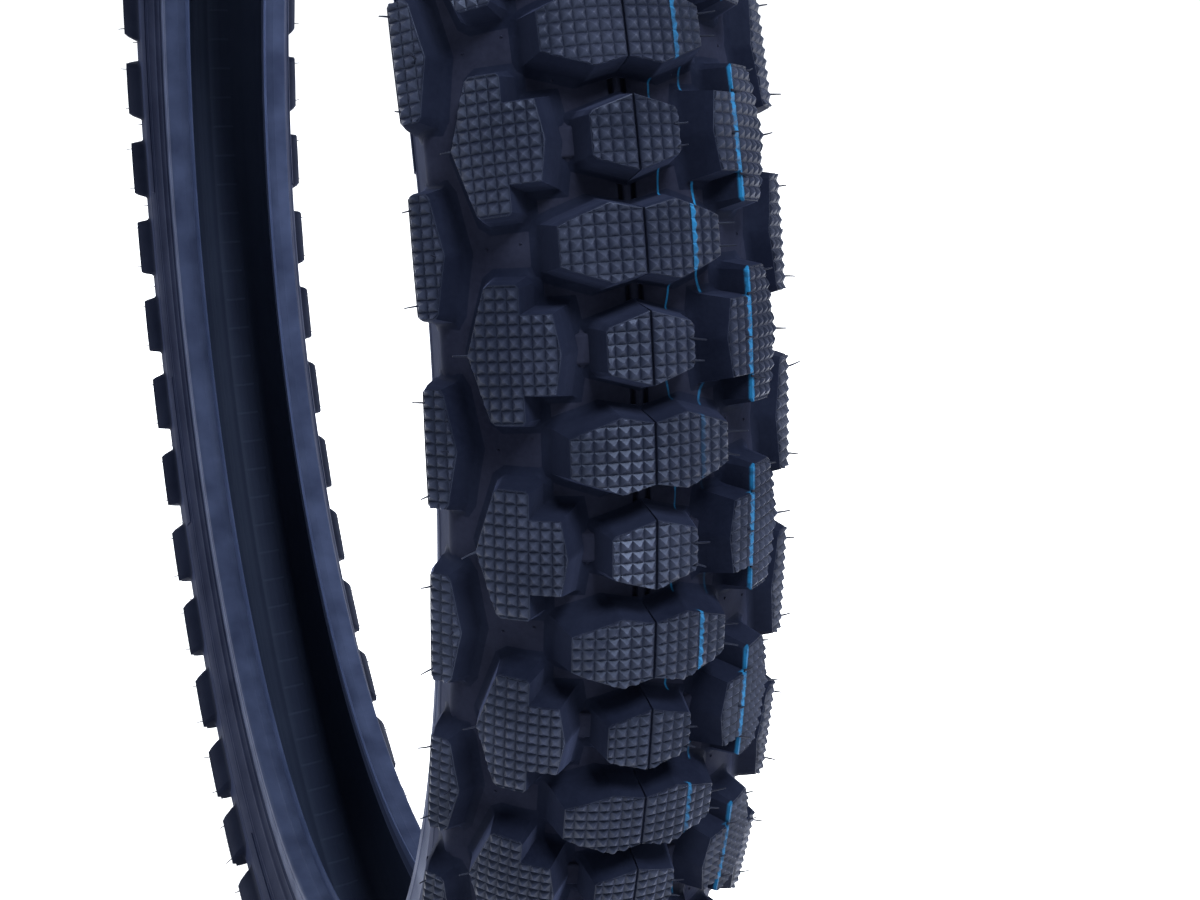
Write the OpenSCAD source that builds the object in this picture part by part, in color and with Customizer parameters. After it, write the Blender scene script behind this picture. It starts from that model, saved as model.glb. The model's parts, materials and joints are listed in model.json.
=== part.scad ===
// Off-road motorcycle tyre for a 21 inch spoked rim, drawn off the rim.
// The axle lies along Y, the tyre stands on its tread, and the origin is the wheel centre.
// Outlines of the section are lists of [radius, offset from the middle plane].

/* [Overall size] */
// Diameter over the centre knobs
outer_d = 695; // [692:1:700]
// Diameter of the bead seats, which is the diameter of the rim's seats
seat_d = 533.4; // [532:0.2:534]

/* [Tread] */
// Times that the tread pattern repeats round the tyre
pitches = 45; // [40:1:48]
// Radius of the arc across the tops of the knobs
crown_arc = 51; // [50:0.5:53]
// Angle from the middle plane to the outer edge of the shoulder knobs, on that arc
crown_edge = 65; // [62:1:66]
// Height of the centre knobs above the groove floor
knob_h = 10; // [9:0.5:11]
// Radius of the arc across the groove floor
floor_arc = 49.8; // [48:0.2:52]
// Width of the cut along the middle of the centre knobs
sipe_w = 0.6; // [0.4:0.1:1]
// Depth of that cut
sipe_depth = 6; // [4:0.5:8]
// Width of each of the two slots in the groove floor
slot_w = 1.3; // [0.8:0.1:1.6]
// Depth of those slots
slot_depth = 1.5; // [1:0.1:2]
// Distance of each slot's centre from the middle plane
slot_y = 1.55; // [1.4:0.05:2]

/* [Casing] */
// Rubber under the groove floor
undertread = 3.2; // [2.6:0.1:4]
// Thickness of one breaker ply
breaker_t = 0.9; // [0.8:0.1:1.1]
// Thickness of one body ply
ply_t = 0.9; // [0.8:0.1:1]
// Thickness of the inner liner
liner_t = 1.2; // [1:0.1:1.5]
// Radius of the casing across the crown
casing_arc = 47.5; // [46.5:0.5:48.5]
// Radius of the casing at its sides
side_arc = 25.5; // [25:0.5:26]
// Thickness of the sidewall over the plies
sidewall_t = 3; // [2.8:0.1:3.2]
// Thickness of the gum between a body ply and its turned up end
gum_t = 0.3; // [0.2:0.05:0.4]

/* [Beads] */
// Distance of the inner side of each bead core from the middle plane
core_in = 23.5; // [23:0.1:24.5]
// Diameter of the bead wire
wire_d = 0.95; // [0.9:0.01:1]
// Turns of wire side by side, and one above the other
wire_rows = 4; // [3:1:4]
// Rubber round the bundle of wires
insulation_t = 0.35; // [0.3:0.05:0.4]
// Thickness of the tape wound round the bundle
wrap_t = 0.3; // [0.25:0.05:0.35]
// Thickness of the chafer
chafer_t = 0.8; // [0.7:0.1:0.9]

/* [Hidden] */

$fn = 180;
pitch_angle = 360 / pitches;
// A wide centre knob stands at the bottom
first_knob = -90;
pitch_mm = PI * outer_d / pitches;

// Radii from the crown down to the casing
crown_r = outer_d / 2;
floor_r = crown_r - knob_h;
casing_r = floor_r - undertread - 2 * breaker_t;

// Bead core, from the bottom of the tape to its top
core_size = wire_rows * wire_d + 2 * (insulation_t + wrap_t);
core_out = core_in + core_size;
core_bottom = seat_d / 2 + chafer_t + 2 * ply_t;
core_top = core_bottom + core_size;

// Stations of the section, as angles of its outward normal from the radial direction
side_start = 30;
breaker_2_end = 40;
breaker_1_end = 50;
tread_end = 60;
turn_up_2_end = 100;
turn_up_1_end = 105;
core_tip = 110;
bead_lean = 130;
step = 5;
foot_step = 10;

// Centres of the casing's arcs
crown_c = [casing_r - casing_arc, 0];
side_c = crown_c + (casing_arc - side_arc) * normal(side_start);
// Arcs that turn the casing and the turned up plies upright beside the bead core
in_foot_arc = 8;
out_foot_arc = 12;
in_foot_c = foot_centre(bead_lean, in_foot_arc, core_in);
out_foot_c = foot_centre(core_tip, out_foot_arc, core_out - gum_t);

// Groove floor and the rounded shoulder below it
floor_c = [floor_r - floor_arc, 0];
floor_end = 52;
shoulder_arc = 6;
shoulder_end = 97;
shoulder_c = floor_c + (floor_arc - shoulder_arc) * normal(floor_end);
sidewall_top = shoulder_c + shoulder_arc * normal(shoulder_end);
sidewall_widest = side_c + (side_arc + sidewall_t) * normal(90);

// Tops of the knobs
top_c = [crown_r - crown_arc, 0];
// Foot of the shoulder knobs on the sidewall, as a share of the way to its widest ring
buttress_foot = 0.6;

// Knob outlines: arc length from the middle plane, and half length as a share of the pitch
wide_end = [20, 0.095];
wide_corner = [17.5, 0.118];
wide_peak = [8, 0.187];
wide_notch = 0.15;
small_end = [10.7, 0.108];
small_apex = 0.177;
mid_inner_vertex = 21;
mid_inner = [22.7, 0.19];
mid_step = 30.2;
mid_outer = [38.6, 0.33];
mid_outer_vertex = 43.8;
mid_tilt = 36;
shoulder_vertex = 49.3;
shoulder_inner = [52.4, 0.295];
shoulder_tilt = 60;

// ---- Section outlines ----

function normal(a) = [cos(a), sin(a)];
function along(a) = [-sin(a), cos(a)];
function flip(p) = [p[0], -p[1]];
function reversed(list) = [for (i = [len(list) - 1:-1:0]) list[i]];
function arc(c, r, a0, a1, by) =
    let (n = max(1, round(abs(a1 - a0) / by)))
    [for (i = [0:n]) c + r * normal(a0 + (a1 - a0) * i / n)];

// Centre of a hollow arc that takes the casing from the angle a to upright at the offset y
function foot_centre(a, r, y) =
    let (leave = side_c + side_arc * normal(a),
         run = (leave[1] + r * (sin(a) - 1) - y) / -along(a)[1])
    leave + run * along(a) + r * normal(a);

// Half of the casing's curve at the distance d outside the body plies, down to the angle a1
function casing(d, a1) = concat(
    arc(crown_c, casing_arc + d, 0, min(a1, side_start), step),
    a1 > side_start ? tail(arc(side_c, side_arc + d, side_start, a1, step)) : []);
function side(d, a0, a1) = arc(side_c, side_arc + d, a0, a1, step);
function in_foot(d) = arc(in_foot_c, d - in_foot_arc, bead_lean, 90, foot_step);
// The turned up ends stand the thickness of the gum further out
function out_foot(t) = arc(out_foot_c, t + gum_t - out_foot_arc, core_tip, 90, foot_step);
function turned(t, a0, a1) = side(t + gum_t, a0, a1);
function tail(list) = [for (i = [1:len(list) - 1]) list[i]];

// A line that runs inside the casing, under the bead core and up to the turned up end
function ply_line(t, end) = concat(
    casing(-t, bead_lean), in_foot(-t),
    [[core_bottom - t, core_in - t], [core_bottom - t, core_out + t]],
    reversed(out_foot(t)), turned(t, core_tip, end));

// The groove floor and shoulder, with the two slots beside the middle plane
function slot_edge(y, depth) =
    [floor_c[0] + sqrt(pow(floor_arc, 2) - y * y) - depth, y];
function floor_line() =
    let (a = slot_y - slot_w / 2, b = slot_y + slot_w / 2)
    concat([[floor_r, 0]],
        [slot_edge(a, 0), slot_edge(a, slot_depth), slot_edge(b, slot_depth), slot_edge(b, 0)],
        arc(floor_c, floor_arc, 6, floor_end, step));
function shoulder_line() = tail(arc(shoulder_c, shoulder_arc, floor_end, shoulder_end, foot_step));

// Both halves of a band between two half lines that start on the middle plane
function whole(line) = concat(reversed([for (p = tail(line)) flip(p)]), line);
function band(outer, inner) = concat(whole(outer), reversed(whole(inner)));

// ---- Solids made from the section ----

module ring() {
    rotate([-90, 0, 0]) rotate_extrude() children();
}
module left() {
    mirror([0, 1, 0]) children();
}

module ply(t, end) {
    ring() polygon(band(ply_line(t, end), ply_line(t + ply_t, end)));
}

module inner_liner() {
    color("#2a2b2f") ring() polygon(band(liner_line(2 * ply_t), liner_line(2 * ply_t + liner_t)));
}
liner_end = core_bottom + 3;
function liner_line(t) = concat(casing(-t, bead_lean), in_foot(-t), [[liner_end, core_in - t]]);

module body_ply_1() {
    color("#6b5138") ply(ply_t, turn_up_1_end);
}
module body_ply_2() {
    color("#7a5f42") ply(0, turn_up_2_end);
}

module breaker(d, end) {
    ring() polygon(band(casing(d + breaker_t, end), casing(d, end)));
}
module breaker_1() {
    color("#8a6f4e") breaker(0, breaker_1_end);
}
module breaker_2() {
    color("#9a7f5c") breaker(breaker_t, breaker_2_end);
}

// Tread rubber from the breakers out to the groove floor
module tread_base() {
    under = concat(casing(2 * breaker_t, breaker_2_end),
        side(breaker_t, breaker_2_end, breaker_1_end), side(0, breaker_1_end, tread_end));
    color("#23252c") ring() polygon(band(concat(floor_line(), shoulder_line()), under));
}

// Sidewall from the tread down to the chafer, over the ends of the turned up plies
module sidewall() {
    outside = concat([sidewall_top], side(sidewall_t, 90, core_tip),
        [out_foot(sidewall_t - gum_t)[0]]);
    inside = concat(side(0, tread_end, turn_up_2_end), turned(ply_t, turn_up_2_end, turn_up_1_end),
        turned(2 * ply_t, turn_up_1_end, core_tip), [out_foot(2 * ply_t)[0]]);
    color("#26282f") ring() polygon(concat(outside, reversed(inside)));
}

// Fabric strip round the bead, whose underside is the seat on the rim
heel_chamfer = 1;
module chafer() {
    t0 = 2 * ply_t;
    t1 = t0 + chafer_t;
    inside = concat(out_foot(t0), [[core_bottom - t0, core_out + t0],
        [core_bottom - t0, core_in - t0], [liner_end, core_in - t0]]);
    outside = concat(out_foot(t1), [[core_bottom - t1 + heel_chamfer, core_out + t1],
        [core_bottom - t1, core_out + t1 - heel_chamfer],
        [core_bottom - t1, core_in - t1], [liner_end, core_in - t1]]);
    color("#1b1c20") ring() polygon(concat(inside, reversed(outside)));
}

// Rubber toe inside the chafer, which reaches below the seat
toe_drop = 2.9;
toe_reach = 1.4;
module toe_strip() {
    t = 2 * ply_t + chafer_t;
    liner_in = core_in - 2 * ply_t - liner_t;
    color("#202228") ring() polygon([[liner_end, core_in - t], [core_bottom - t, core_in - t],
        [core_bottom - t - toe_drop, liner_in - toe_reach], [liner_end, liner_in]]);
}

// Hard rubber wedge that stands on the wound core, between a body ply and its turned up end
module bead_filler() {
    color("#33353c") ring() polygon(concat(side(0, turn_up_2_end, bead_lean), in_foot(0),
        [[core_top, core_in], [core_top, core_out]],
        reversed(out_foot(0)), turned(0, core_tip, turn_up_2_end)));
}

module core_square(inset) {
    translate([core_bottom + inset, core_in + inset]) square(core_size - 2 * inset);
}
module bead_wrap() {
    color("#b7ab93") ring() difference() {
        core_square(0);
        core_square(wrap_t);
    }
}
module wire_sections() {
    first = wrap_t + insulation_t + wire_d / 2;
    for (i = [0:wire_rows - 1], j = [0:wire_rows - 1])
        translate([core_bottom + first + i * wire_d, core_in + first + j * wire_d])
            circle(d = wire_d - wire_gap, $fn = 24);
}
// Gap that keeps neighbouring turns of wire apart
wire_gap = 0.05;
module bead_insulation() {
    color("#3a3c42") ring() difference() {
        core_square(wrap_t);
        wire_sections();
    }
}
module bead_wires() {
    color("#b08d57") ring() wire_sections();
}

// ---- Knobs ----

// Across a knob, in the plane square to its tilt, at the arc length s from the middle plane
function across(s, tilt) = crown_arc * sin(s * 180 / (PI * crown_arc) - tilt);
function around(share) = share * pitch_mm;
function point(p, tilt, way) = [across(p[0], tilt), way * around(p[1])];

module placed(start) {
    for (i = [0:pitches - 1]) rotate([0, -(start + i * pitch_angle), 0]) children();
}
prism_h = crown_arc + 10;
module prism(tilt, outline) {
    translate([top_c[0], 0, 0]) rotate([0, 0, tilt]) rotate([90, 0, 90])
        linear_extrude(height = prism_h) polygon(outline);
}
// The rubber between the groove floor and the tops of the knobs, from one crown angle to another
module knob_band(a0, a1, under) {
    ring() polygon(concat(arc(top_c, crown_arc, a0, a1, step / 2), reversed(under)));
}
module sipe() {
    ring() translate([crown_r - sipe_depth, -sipe_w / 2]) square([sipe_depth + 1, sipe_w]);
}
centre_band = 30;

module centre_knobs(start, outline) {
    difference() {
        intersection() {
            knob_band(-centre_band, centre_band, whole([for (p = floor_line())
                if (p[1] <= floor_arc * sin(centre_band + step)) p]));
            placed(start) prism(0, outline);
        }
        sipe();
    }
}
module centre_wide_knobs() {
    quarter = [point([0, wide_notch], 0, 1), point(wide_peak, 0, 1),
        point(wide_corner, 0, 1), point(wide_end, 0, 1)];
    color("#2c2f38") centre_knobs(first_knob, four_ways(quarter));
}
module centre_small_knobs() {
    quarter = [point([0, small_apex], 0, 1), point(small_end, 0, 1)];
    color("#2f323b") centre_knobs(first_knob + pitch_angle / 2, four_ways(quarter));
}
function four_ways(quarter) =
    let (lower = [for (p = reversed(quarter)) [p[0], -p[1]]],
         half = concat(quarter, lower))
    concat(half, [for (i = [len(half) - 2:-1:1]) if (half[i][0] > 0) [-half[i][0], half[i][1]]]);

module mid_knobs() {
    t = mid_tilt;
    upper = [point([mid_inner_vertex, 0], t, 1), point(mid_inner, t, 1),
        point([mid_step, mid_inner[1]], t, 1), point([mid_step, mid_outer[1]], t, 1),
        point(mid_outer, t, 1), point([mid_outer_vertex, 0], t, 1)];
    lower = [for (i = [len(upper) - 2:-1:1]) [upper[i][0], -upper[i][1]]];
    color("#2d3039") intersection() {
        knob_band(15, 55, concat([for (p = floor_line()) if (p[1] > floor_arc * sin(10)) p],
            [shoulder_line()[0]]));
        placed(first_knob + pitch_angle / 2) prism(t, concat(upper, lower));
    }
}

module shoulder_knobs() {
    t = shoulder_tilt;
    beyond = 20;
    near = point(shoulder_inner, t, 1);
    outline = [[across(shoulder_vertex, t), 0], near, [beyond, near[1]], [beyond, -near[1]],
        [near[0], -near[1]]];
    foot = sidewall_top + buttress_foot * (sidewall_widest - sidewall_top);
    color("#2a2d35") intersection() {
        knob_band(45, crown_edge, concat(
            [for (p = floor_line()) if (p[1] > floor_arc * sin(40)) p], shoulder_line(), [foot]));
        placed(first_knob) prism(t, outline);
    }
}

inner_liner();
body_ply_1();
body_ply_2();
breaker_1();
breaker_2();
tread_base();
centre_wide_knobs();
centre_small_knobs();
left() mid_knobs();  // mid_knobs_left
mid_knobs();  // mid_knobs_right
left() shoulder_knobs();  // shoulder_knobs_left
shoulder_knobs();  // shoulder_knobs_right
left() sidewall();  // sidewall_left
sidewall();  // sidewall_right
left() chafer();  // chafer_left
chafer();  // chafer_right
left() toe_strip();  // toe_strip_left
toe_strip();  // toe_strip_right
left() bead_filler();  // bead_filler_left
bead_filler();  // bead_filler_right
left() bead_wrap();  // bead_wrap_left
bead_wrap();  // bead_wrap_right
left() bead_insulation();  // bead_insulation_left
bead_insulation();  // bead_insulation_right
left() bead_wires();  // bead_wires_left
bead_wires();  // bead_wires_right
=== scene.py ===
import json
import math
import random

import bpy
import numpy as np
from mathutils import Matrix, Vector


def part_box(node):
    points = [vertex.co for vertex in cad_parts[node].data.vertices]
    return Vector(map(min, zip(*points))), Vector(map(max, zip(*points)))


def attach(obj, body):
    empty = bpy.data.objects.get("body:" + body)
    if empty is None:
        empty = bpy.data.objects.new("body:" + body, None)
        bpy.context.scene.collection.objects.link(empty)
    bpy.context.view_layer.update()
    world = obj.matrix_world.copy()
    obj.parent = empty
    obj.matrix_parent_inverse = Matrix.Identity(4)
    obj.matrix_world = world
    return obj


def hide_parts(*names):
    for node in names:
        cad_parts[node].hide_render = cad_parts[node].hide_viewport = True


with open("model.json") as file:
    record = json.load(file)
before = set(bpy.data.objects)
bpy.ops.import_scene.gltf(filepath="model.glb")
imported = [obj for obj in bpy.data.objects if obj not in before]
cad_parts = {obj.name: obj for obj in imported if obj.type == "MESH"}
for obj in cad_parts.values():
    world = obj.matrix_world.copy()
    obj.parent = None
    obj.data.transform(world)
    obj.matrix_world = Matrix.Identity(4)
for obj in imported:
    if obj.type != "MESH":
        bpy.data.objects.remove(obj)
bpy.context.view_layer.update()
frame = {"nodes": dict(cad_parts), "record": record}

mm = 0.001
mounts = {mount["name"]: mount for mount in frame["record"]["mounts"]}

# All shapes below are worked out in millimetres. A point of the section is
# (radius, offset from the middle plane); addPiece turns them into metres.
tyre = {
    "crownR": -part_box("centre_wide_knobs")[0].z / mm,  # over the knobs
    "seatR": mounts["bead_seat_right"]["dims"]["r_mm"],
    "pitches": 45,  # times the tread repeats round the tyre
    "firstKnob": -90,  # degrees, straight down
    "crownArc": 51,  # curve across the knob tops
    "knobHeight": 10,
    "floorArc": 49.8,  # curve across the groove floor
    "floorEnd": 52,  # degrees of that curve to the shoulder
    "shoulderArc": 6,
    "shoulderEnd": 97,
    "undertread": 3.2,
    "breakerT": 0.9,
    "plyT": 0.9,
    "gumT": 0.3,
    "linerT": 1.2,
    "chaferT": 0.8,
    "sidewallT": 3,
    "casingArc": 47.5,  # curve of the plies under the tread
    "sideArc": 25.5,  # curve of the plies in the side
    "sideStart": 30,
    "coreIn": 23.5,  # inner face of the bead core, from the middle plane
    "coreSize": 5.1,
    "linerOverlap": 3,  # liner and toe strip meet this far above the core's bottom
    "segments": 270,
}
pitchAngle = 360 / tyre["pitches"]
pitchMm = 2 * math.pi * tyre["crownR"] / tyre["pitches"]
floorR = tyre["crownR"] - tyre["knobHeight"]
random.seed(21)
print("frame loaded, crown radius", round(tyre["crownR"], 2), "mm")


# Directions and arcs in the section; angles are in degrees from the crown
def normal(angle):
    return np.array([math.cos(math.radians(angle)), math.sin(math.radians(angle))])


def along(angle):
    return np.array([-math.sin(math.radians(angle)), math.cos(math.radians(angle))])


def arc(centre, radius, start, end, step=3):
    count = max(1, round(abs(end - start) / step))
    return [centre + radius * normal(start + (end - start) * i / count) for i in range(count + 1)]


def flipped(line):
    return [np.array([p[0], -p[1]]) for p in line]


def whole(line):
    # Both halves of a line that starts on the middle plane
    return flipped(line[:0:-1]) + line


crownC = np.array([tyre["crownR"] - tyre["crownArc"], 0])
floorC = np.array([floorR - tyre["floorArc"], 0])
shoulderC = floorC + (tyre["floorArc"] - tyre["shoulderArc"]) * normal(tyre["floorEnd"])
casingR = floorR - tyre["undertread"] - 2 * tyre["breakerT"]
casingC = np.array([casingR - tyre["casingArc"], 0])
sideC = casingC + (tyre["casingArc"] - tyre["sideArc"]) * normal(tyre["sideStart"])
coreOut = tyre["coreIn"] + tyre["coreSize"]
coreBottom = tyre["seatR"] + tyre["chaferT"] + 2 * tyre["plyT"]
linerEnd = coreBottom + tyre["linerOverlap"]
# Where the lines inside and outside the bead leave the side curve, and the arcs they leave it by
footAngles = {"in": 130, "out": 110}
footArcs = {"in": 8, "out": 12}


def footCentre(angle, radius, offset):
    # Centre of the arc that leads from the end of the side curve straight down to the bead
    leave = sideC + tyre["sideArc"] * normal(angle)
    run = (leave[1] + radius * (math.sin(math.radians(angle)) - 1) - offset) / -along(angle)[1]
    return leave + run * along(angle) + radius * normal(angle)


inFootC = footCentre(footAngles["in"], footArcs["in"], tyre["coreIn"])
outFootC = footCentre(footAngles["out"], footArcs["out"], coreOut - tyre["gumT"])


def casing(depth, end):
    # From the crown to an angle, this far inside the outermost ply
    line = arc(casingC, tyre["casingArc"] - depth, 0, min(end, tyre["sideStart"]))
    if end > tyre["sideStart"]:
        line += arc(sideC, tyre["sideArc"] - depth, tyre["sideStart"], end)[1:]
    return line


def inFoot(depth):
    # Down the inside of the bead, this far in from its core
    return arc(inFootC, -depth - footArcs["in"], footAngles["in"], 90, 4)


def outFoot(proud):
    # Down the outside of the bead, this far out from its core
    return arc(outFootC, proud + tyre["gumT"] - footArcs["out"], footAngles["out"], 90, 4)


def addPiece(name, verts, faces, materials, replaced=(), sharp=38, relief=None, finish=None):
    # relief is a value for each point and finish the material of each face
    mesh = bpy.data.meshes.new(name)
    mesh.from_pydata((np.asarray(verts, float) * mm).tolist(), [], faces)
    if finish is not None:
        mesh.polygons.foreach_set("material_index", finish)
    mesh.validate()
    mesh.polygons.foreach_set("use_smooth", [True] * len(mesh.polygons))
    mesh.set_sharp_from_angle(angle=math.radians(sharp))
    if relief is not None:
        layer = mesh.attributes.new("relief", "FLOAT", "POINT")
        layer.data.foreach_set("value", np.asarray(relief, np.float32))
    for material in materials:
        mesh.materials.append(material)
    piece = bpy.data.objects.new(name, mesh)
    bpy.context.scene.collection.objects.link(piece)
    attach(piece, "root")
    if replaced:
        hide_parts(*replaced)
    print("made", name, len(mesh.polygons), "faces")
    return piece


def revolve(sectionLine, segments):
    # A closed section turned round the axle, with its faces outward whichever way the list runs
    angles = np.arange(segments) * 2 * math.pi / segments
    line = np.array(sectionLine)
    count = len(line)
    verts = np.empty((segments, count, 3))
    verts[:, :, 0] = np.cos(angles)[:, None] * line[None, :, 0]
    verts[:, :, 1] = line[None, :, 1]
    verts[:, :, 2] = np.sin(angles)[:, None] * line[None, :, 0]
    turn = signedArea(line) > 0
    faces = []
    for i in range(segments):
        a = i * count
        b = (i + 1) % segments * count
        for j in range(count):
            k = (j + 1) % count
            quad = (a + j, a + k, b + k, b + j)
            faces.append(quad if turn else quad[::-1])
    return verts.reshape(-1, 3), faces


def signedArea(points):
    p = np.asarray(points)
    q = np.roll(p, -1, axis=0)
    return 0.5 * float(np.sum(p[:, 0] * q[:, 1] - q[:, 0] * p[:, 1]))


def aroundTyre(verts, faces, start, side):
    # Copies of one mesh at every pitch. Local columns are radius, offset, and length round the tyre.
    local = np.asarray(verts, float)
    count = len(local)
    rings = []
    allFaces = []
    for i in range(tyre["pitches"]):
        angle = math.radians(start + i * pitchAngle)
        x = local[:, 0] * math.cos(angle) - local[:, 2] * math.sin(angle)
        z = local[:, 0] * math.sin(angle) + local[:, 2] * math.cos(angle)
        rings.append(np.column_stack([x, side * local[:, 1], z]))
        for face in faces:
            shifted = tuple(v + i * count for v in face)
            allFaces.append(shifted[::-1] if side < 0 else shifted)
    return np.vstack(rings), allFaces


rubberLook = {
    # darkest and lightest tone, specular level, and roughness where it is dull and where it shines
    "knobTop": ((0.0022, 0.0030, 0.0070), (0.0132, 0.0160, 0.0280), 0.13, (0.53, 0.38)),
    # knob sides: the same rubber as the tops, painted darker as painted shade on the walls
    "knobSide": ((0.0021, 0.0029, 0.0068), (0.0056, 0.0073, 0.0148), 0.006, (0.55, 0.42)),
    "floor": ((0.0038, 0.0045, 0.0092), (0.0108, 0.0125, 0.0225), 0.003, (0.50, 0.38)),
    "sidewall": ((0.0032, 0.0044, 0.0108), (0.0090, 0.0115, 0.0240), 0.003, (0.52, 0.40)),
    # toe: painted lighter than the other rubber, as painted light on the bead faces
    "toe": ((0.0140, 0.0205, 0.0455), (0.0285, 0.0385, 0.0780), 0.01, (0.46, 0.36)),
    "hair": ((0.0020, 0.0024, 0.0050), (0.0070, 0.0080, 0.0130), 0.08, (0.55, 0.45)),
    "core": ((0.010, 0.011, 0.014), (0.030, 0.032, 0.038), 0.30, (0.65, 0.50)),
    "specularTint": (0.55, 0.68, 1.0),
    "sheen": 0.07,
    "sheenRoughness": 0.38,
    "sheenTint": (0.42, 0.52, 1.0),
    "grainScale": 900,
    "patchScale": 38,
    "reliefShade": (-0.45, 0.4),  # painted shade: tone added in the valleys of the knurling, darker, and on its tips, lighter
}
paintLook = {
    "colour": (0.006, 0.058, 0.132),
    # offset from the middle plane, half width and least cover of each line, on the tops and in the grooves
    "topLines": [(12.2, 0.5, 0.12), (27.8, 0.8, 0.75)],
    "floorLines": [(8.2, 0.26, 0.7), (17.0, 0.3, 0.0)],
    "topSway": 0.8,
    "floorSway": 8.0,
    "bend": 1.6,
    # depths under the crown where the paint of the tops fades out, that of the grooves
    # fades in, and the bend over a knob's edge grows and ends
    "topFade": (1.7, 0.9),
    "floorFade": (8.8, 8.0),
    "bendFade": (1.9, 0.8),
    "swayScale": 48,
    "fleckScale": 420,
    "wearScale": 14,
}


def node(tree, kind, **settings):
    made = tree.nodes.new("ShaderNode" + kind)
    for key, value in settings.items():
        setattr(made, key, value)
    return made


def maths(tree, operation, first, second=None):
    made = node(tree, "Math", operation=operation)
    for slotIndex, value in enumerate((first, second)):
        if value is None:
            continue
        if isinstance(value, (int, float)):
            made.inputs[slotIndex].default_value = value
        else:
            tree.links.new(value, made.inputs[slotIndex])
    return made.outputs[0]


def mapped(tree, value, low, high, toLow, toHigh, smooth=False):
    made = node(tree, "MapRange", interpolation_type="SMOOTHSTEP" if smooth else "LINEAR")
    tree.links.new(value, made.inputs["Value"])
    for key, number in (("From Min", low), ("From Max", high), ("To Min", toLow), ("To Max", toHigh)):
        if isinstance(number, (int, float)):
            made.inputs[key].default_value = number
        else:
            tree.links.new(number, made.inputs[key])
    return made.outputs["Result"]


def mixed(tree, amount, first, second):
    made = node(tree, "Mix", data_type="RGBA")
    tree.links.new(amount, made.inputs[0])
    for socket, value in ((made.inputs[6], first), (made.inputs[7], second)):
        if isinstance(value, tuple):
            socket.default_value = (*value, 1)
        else:
            tree.links.new(value, socket)
    return made.outputs[2]


def noise(tree, coords, scale, detail=3, roughness=0.5):
    made = node(tree, "TexNoise")
    made.inputs["Scale"].default_value = scale
    made.inputs["Detail"].default_value = detail
    made.inputs["Roughness"].default_value = roughness
    tree.links.new(coords, made.inputs["Vector"])
    return made.outputs["Fac"]


def startMaterial(name):
    material = bpy.data.materials.new(name)
    material.use_nodes = True
    tree = material.node_tree
    shader = tree.nodes["Principled BSDF"]
    coords = node(tree, "TexCoord").outputs["Object"]
    return material, tree, shader, coords


def bumped(tree, shader, height, strength, distance, under=None):
    made = node(tree, "Bump")
    made.inputs["Strength"].default_value = strength
    made.inputs["Distance"].default_value = distance
    tree.links.new(height, made.inputs["Height"])
    if under is not None:
        tree.links.new(under, made.inputs["Normal"])
    tree.links.new(made.outputs["Normal"], shader.inputs["Normal"])
    return made.outputs["Normal"]


def paintMask(tree, coords):
    # Where the painted lines round the tyre cover the rubber
    paint = paintLook
    parts = node(tree, "SeparateXYZ")
    tree.links.new(coords, parts.inputs[0])
    x, y, z = parts.outputs
    reach = maths(tree, "SQRT", maths(tree, "ADD", maths(tree, "MULTIPLY", x, x),
                                      maths(tree, "MULTIPLY", z, z)))
    deep = maths(tree, "SUBTRACT", reach, float(crownC[0]) * mm)
    spread = maths(tree, "SQRT", maths(tree, "ADD", maths(tree, "MULTIPLY", deep, deep),
                                       maths(tree, "MULTIPLY", y, y)))

    def faded(depths, start, end):
        low, high = [(tyre["crownArc"] - depth) * mm for depth in depths]
        return mapped(tree, spread, low, high, start, end, smooth=True)

    onTop = faded(paint["topFade"], 0.0, 1.0)
    onFloor = faded(paint["floorFade"], 1.0, 0.0)
    # The lines bend towards the middle plane where they run over the edge of a knob
    edge = faded(paint["bendFade"], paint["bend"] * mm, 0.0)
    sway = maths(tree, "SUBTRACT", noise(tree, coords, paint["swayScale"], 1), 0.5)
    fleck = mapped(tree, noise(tree, coords, paint["fleckScale"], 2), 0.36, 0.5, 0.45, 1.0)
    worn = noise(tree, coords, paint["wearScale"], 1)
    mask = None
    for lines, place, give in ((paint["topLines"], onTop, paint["topSway"]),
                               (paint["floorLines"], onFloor, paint["floorSway"])):
        for offset, half, cover in lines:
            centre = maths(tree, "ADD", maths(tree, "MULTIPLY", sway, give * mm), offset * mm)
            if place is onTop:
                centre = maths(tree, "SUBTRACT", centre, edge)
            gap = maths(tree, "ABSOLUTE", maths(tree, "SUBTRACT", y, centre))
            line = mapped(tree, gap, 0.75 * half * mm, 1.15 * half * mm, 1.0, 0.0, smooth=True)
            line = maths(tree, "MULTIPLY", line, place)
            line = maths(tree, "MULTIPLY", line, mapped(tree, worn, 0.44, 0.58, cover, 1.0))
            mask = line if mask is None else maths(tree, "MAXIMUM", mask, line)
    return maths(tree, "MULTIPLY", mask, fleck)


def glossed(shader, specular):
    # Gloss of the rubber: a weak reflection and a bluish sheen where it is seen edge-on
    shader.inputs["Specular IOR Level"].default_value = specular
    shader.inputs["Specular Tint"].default_value = (*rubberLook["specularTint"], 1)
    shader.inputs["Sheen Weight"].default_value = rubberLook["sheen"]
    shader.inputs["Sheen Roughness"].default_value = rubberLook["sheenRoughness"]
    shader.inputs["Sheen Tint"].default_value = (*rubberLook["sheenTint"], 1)


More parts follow.
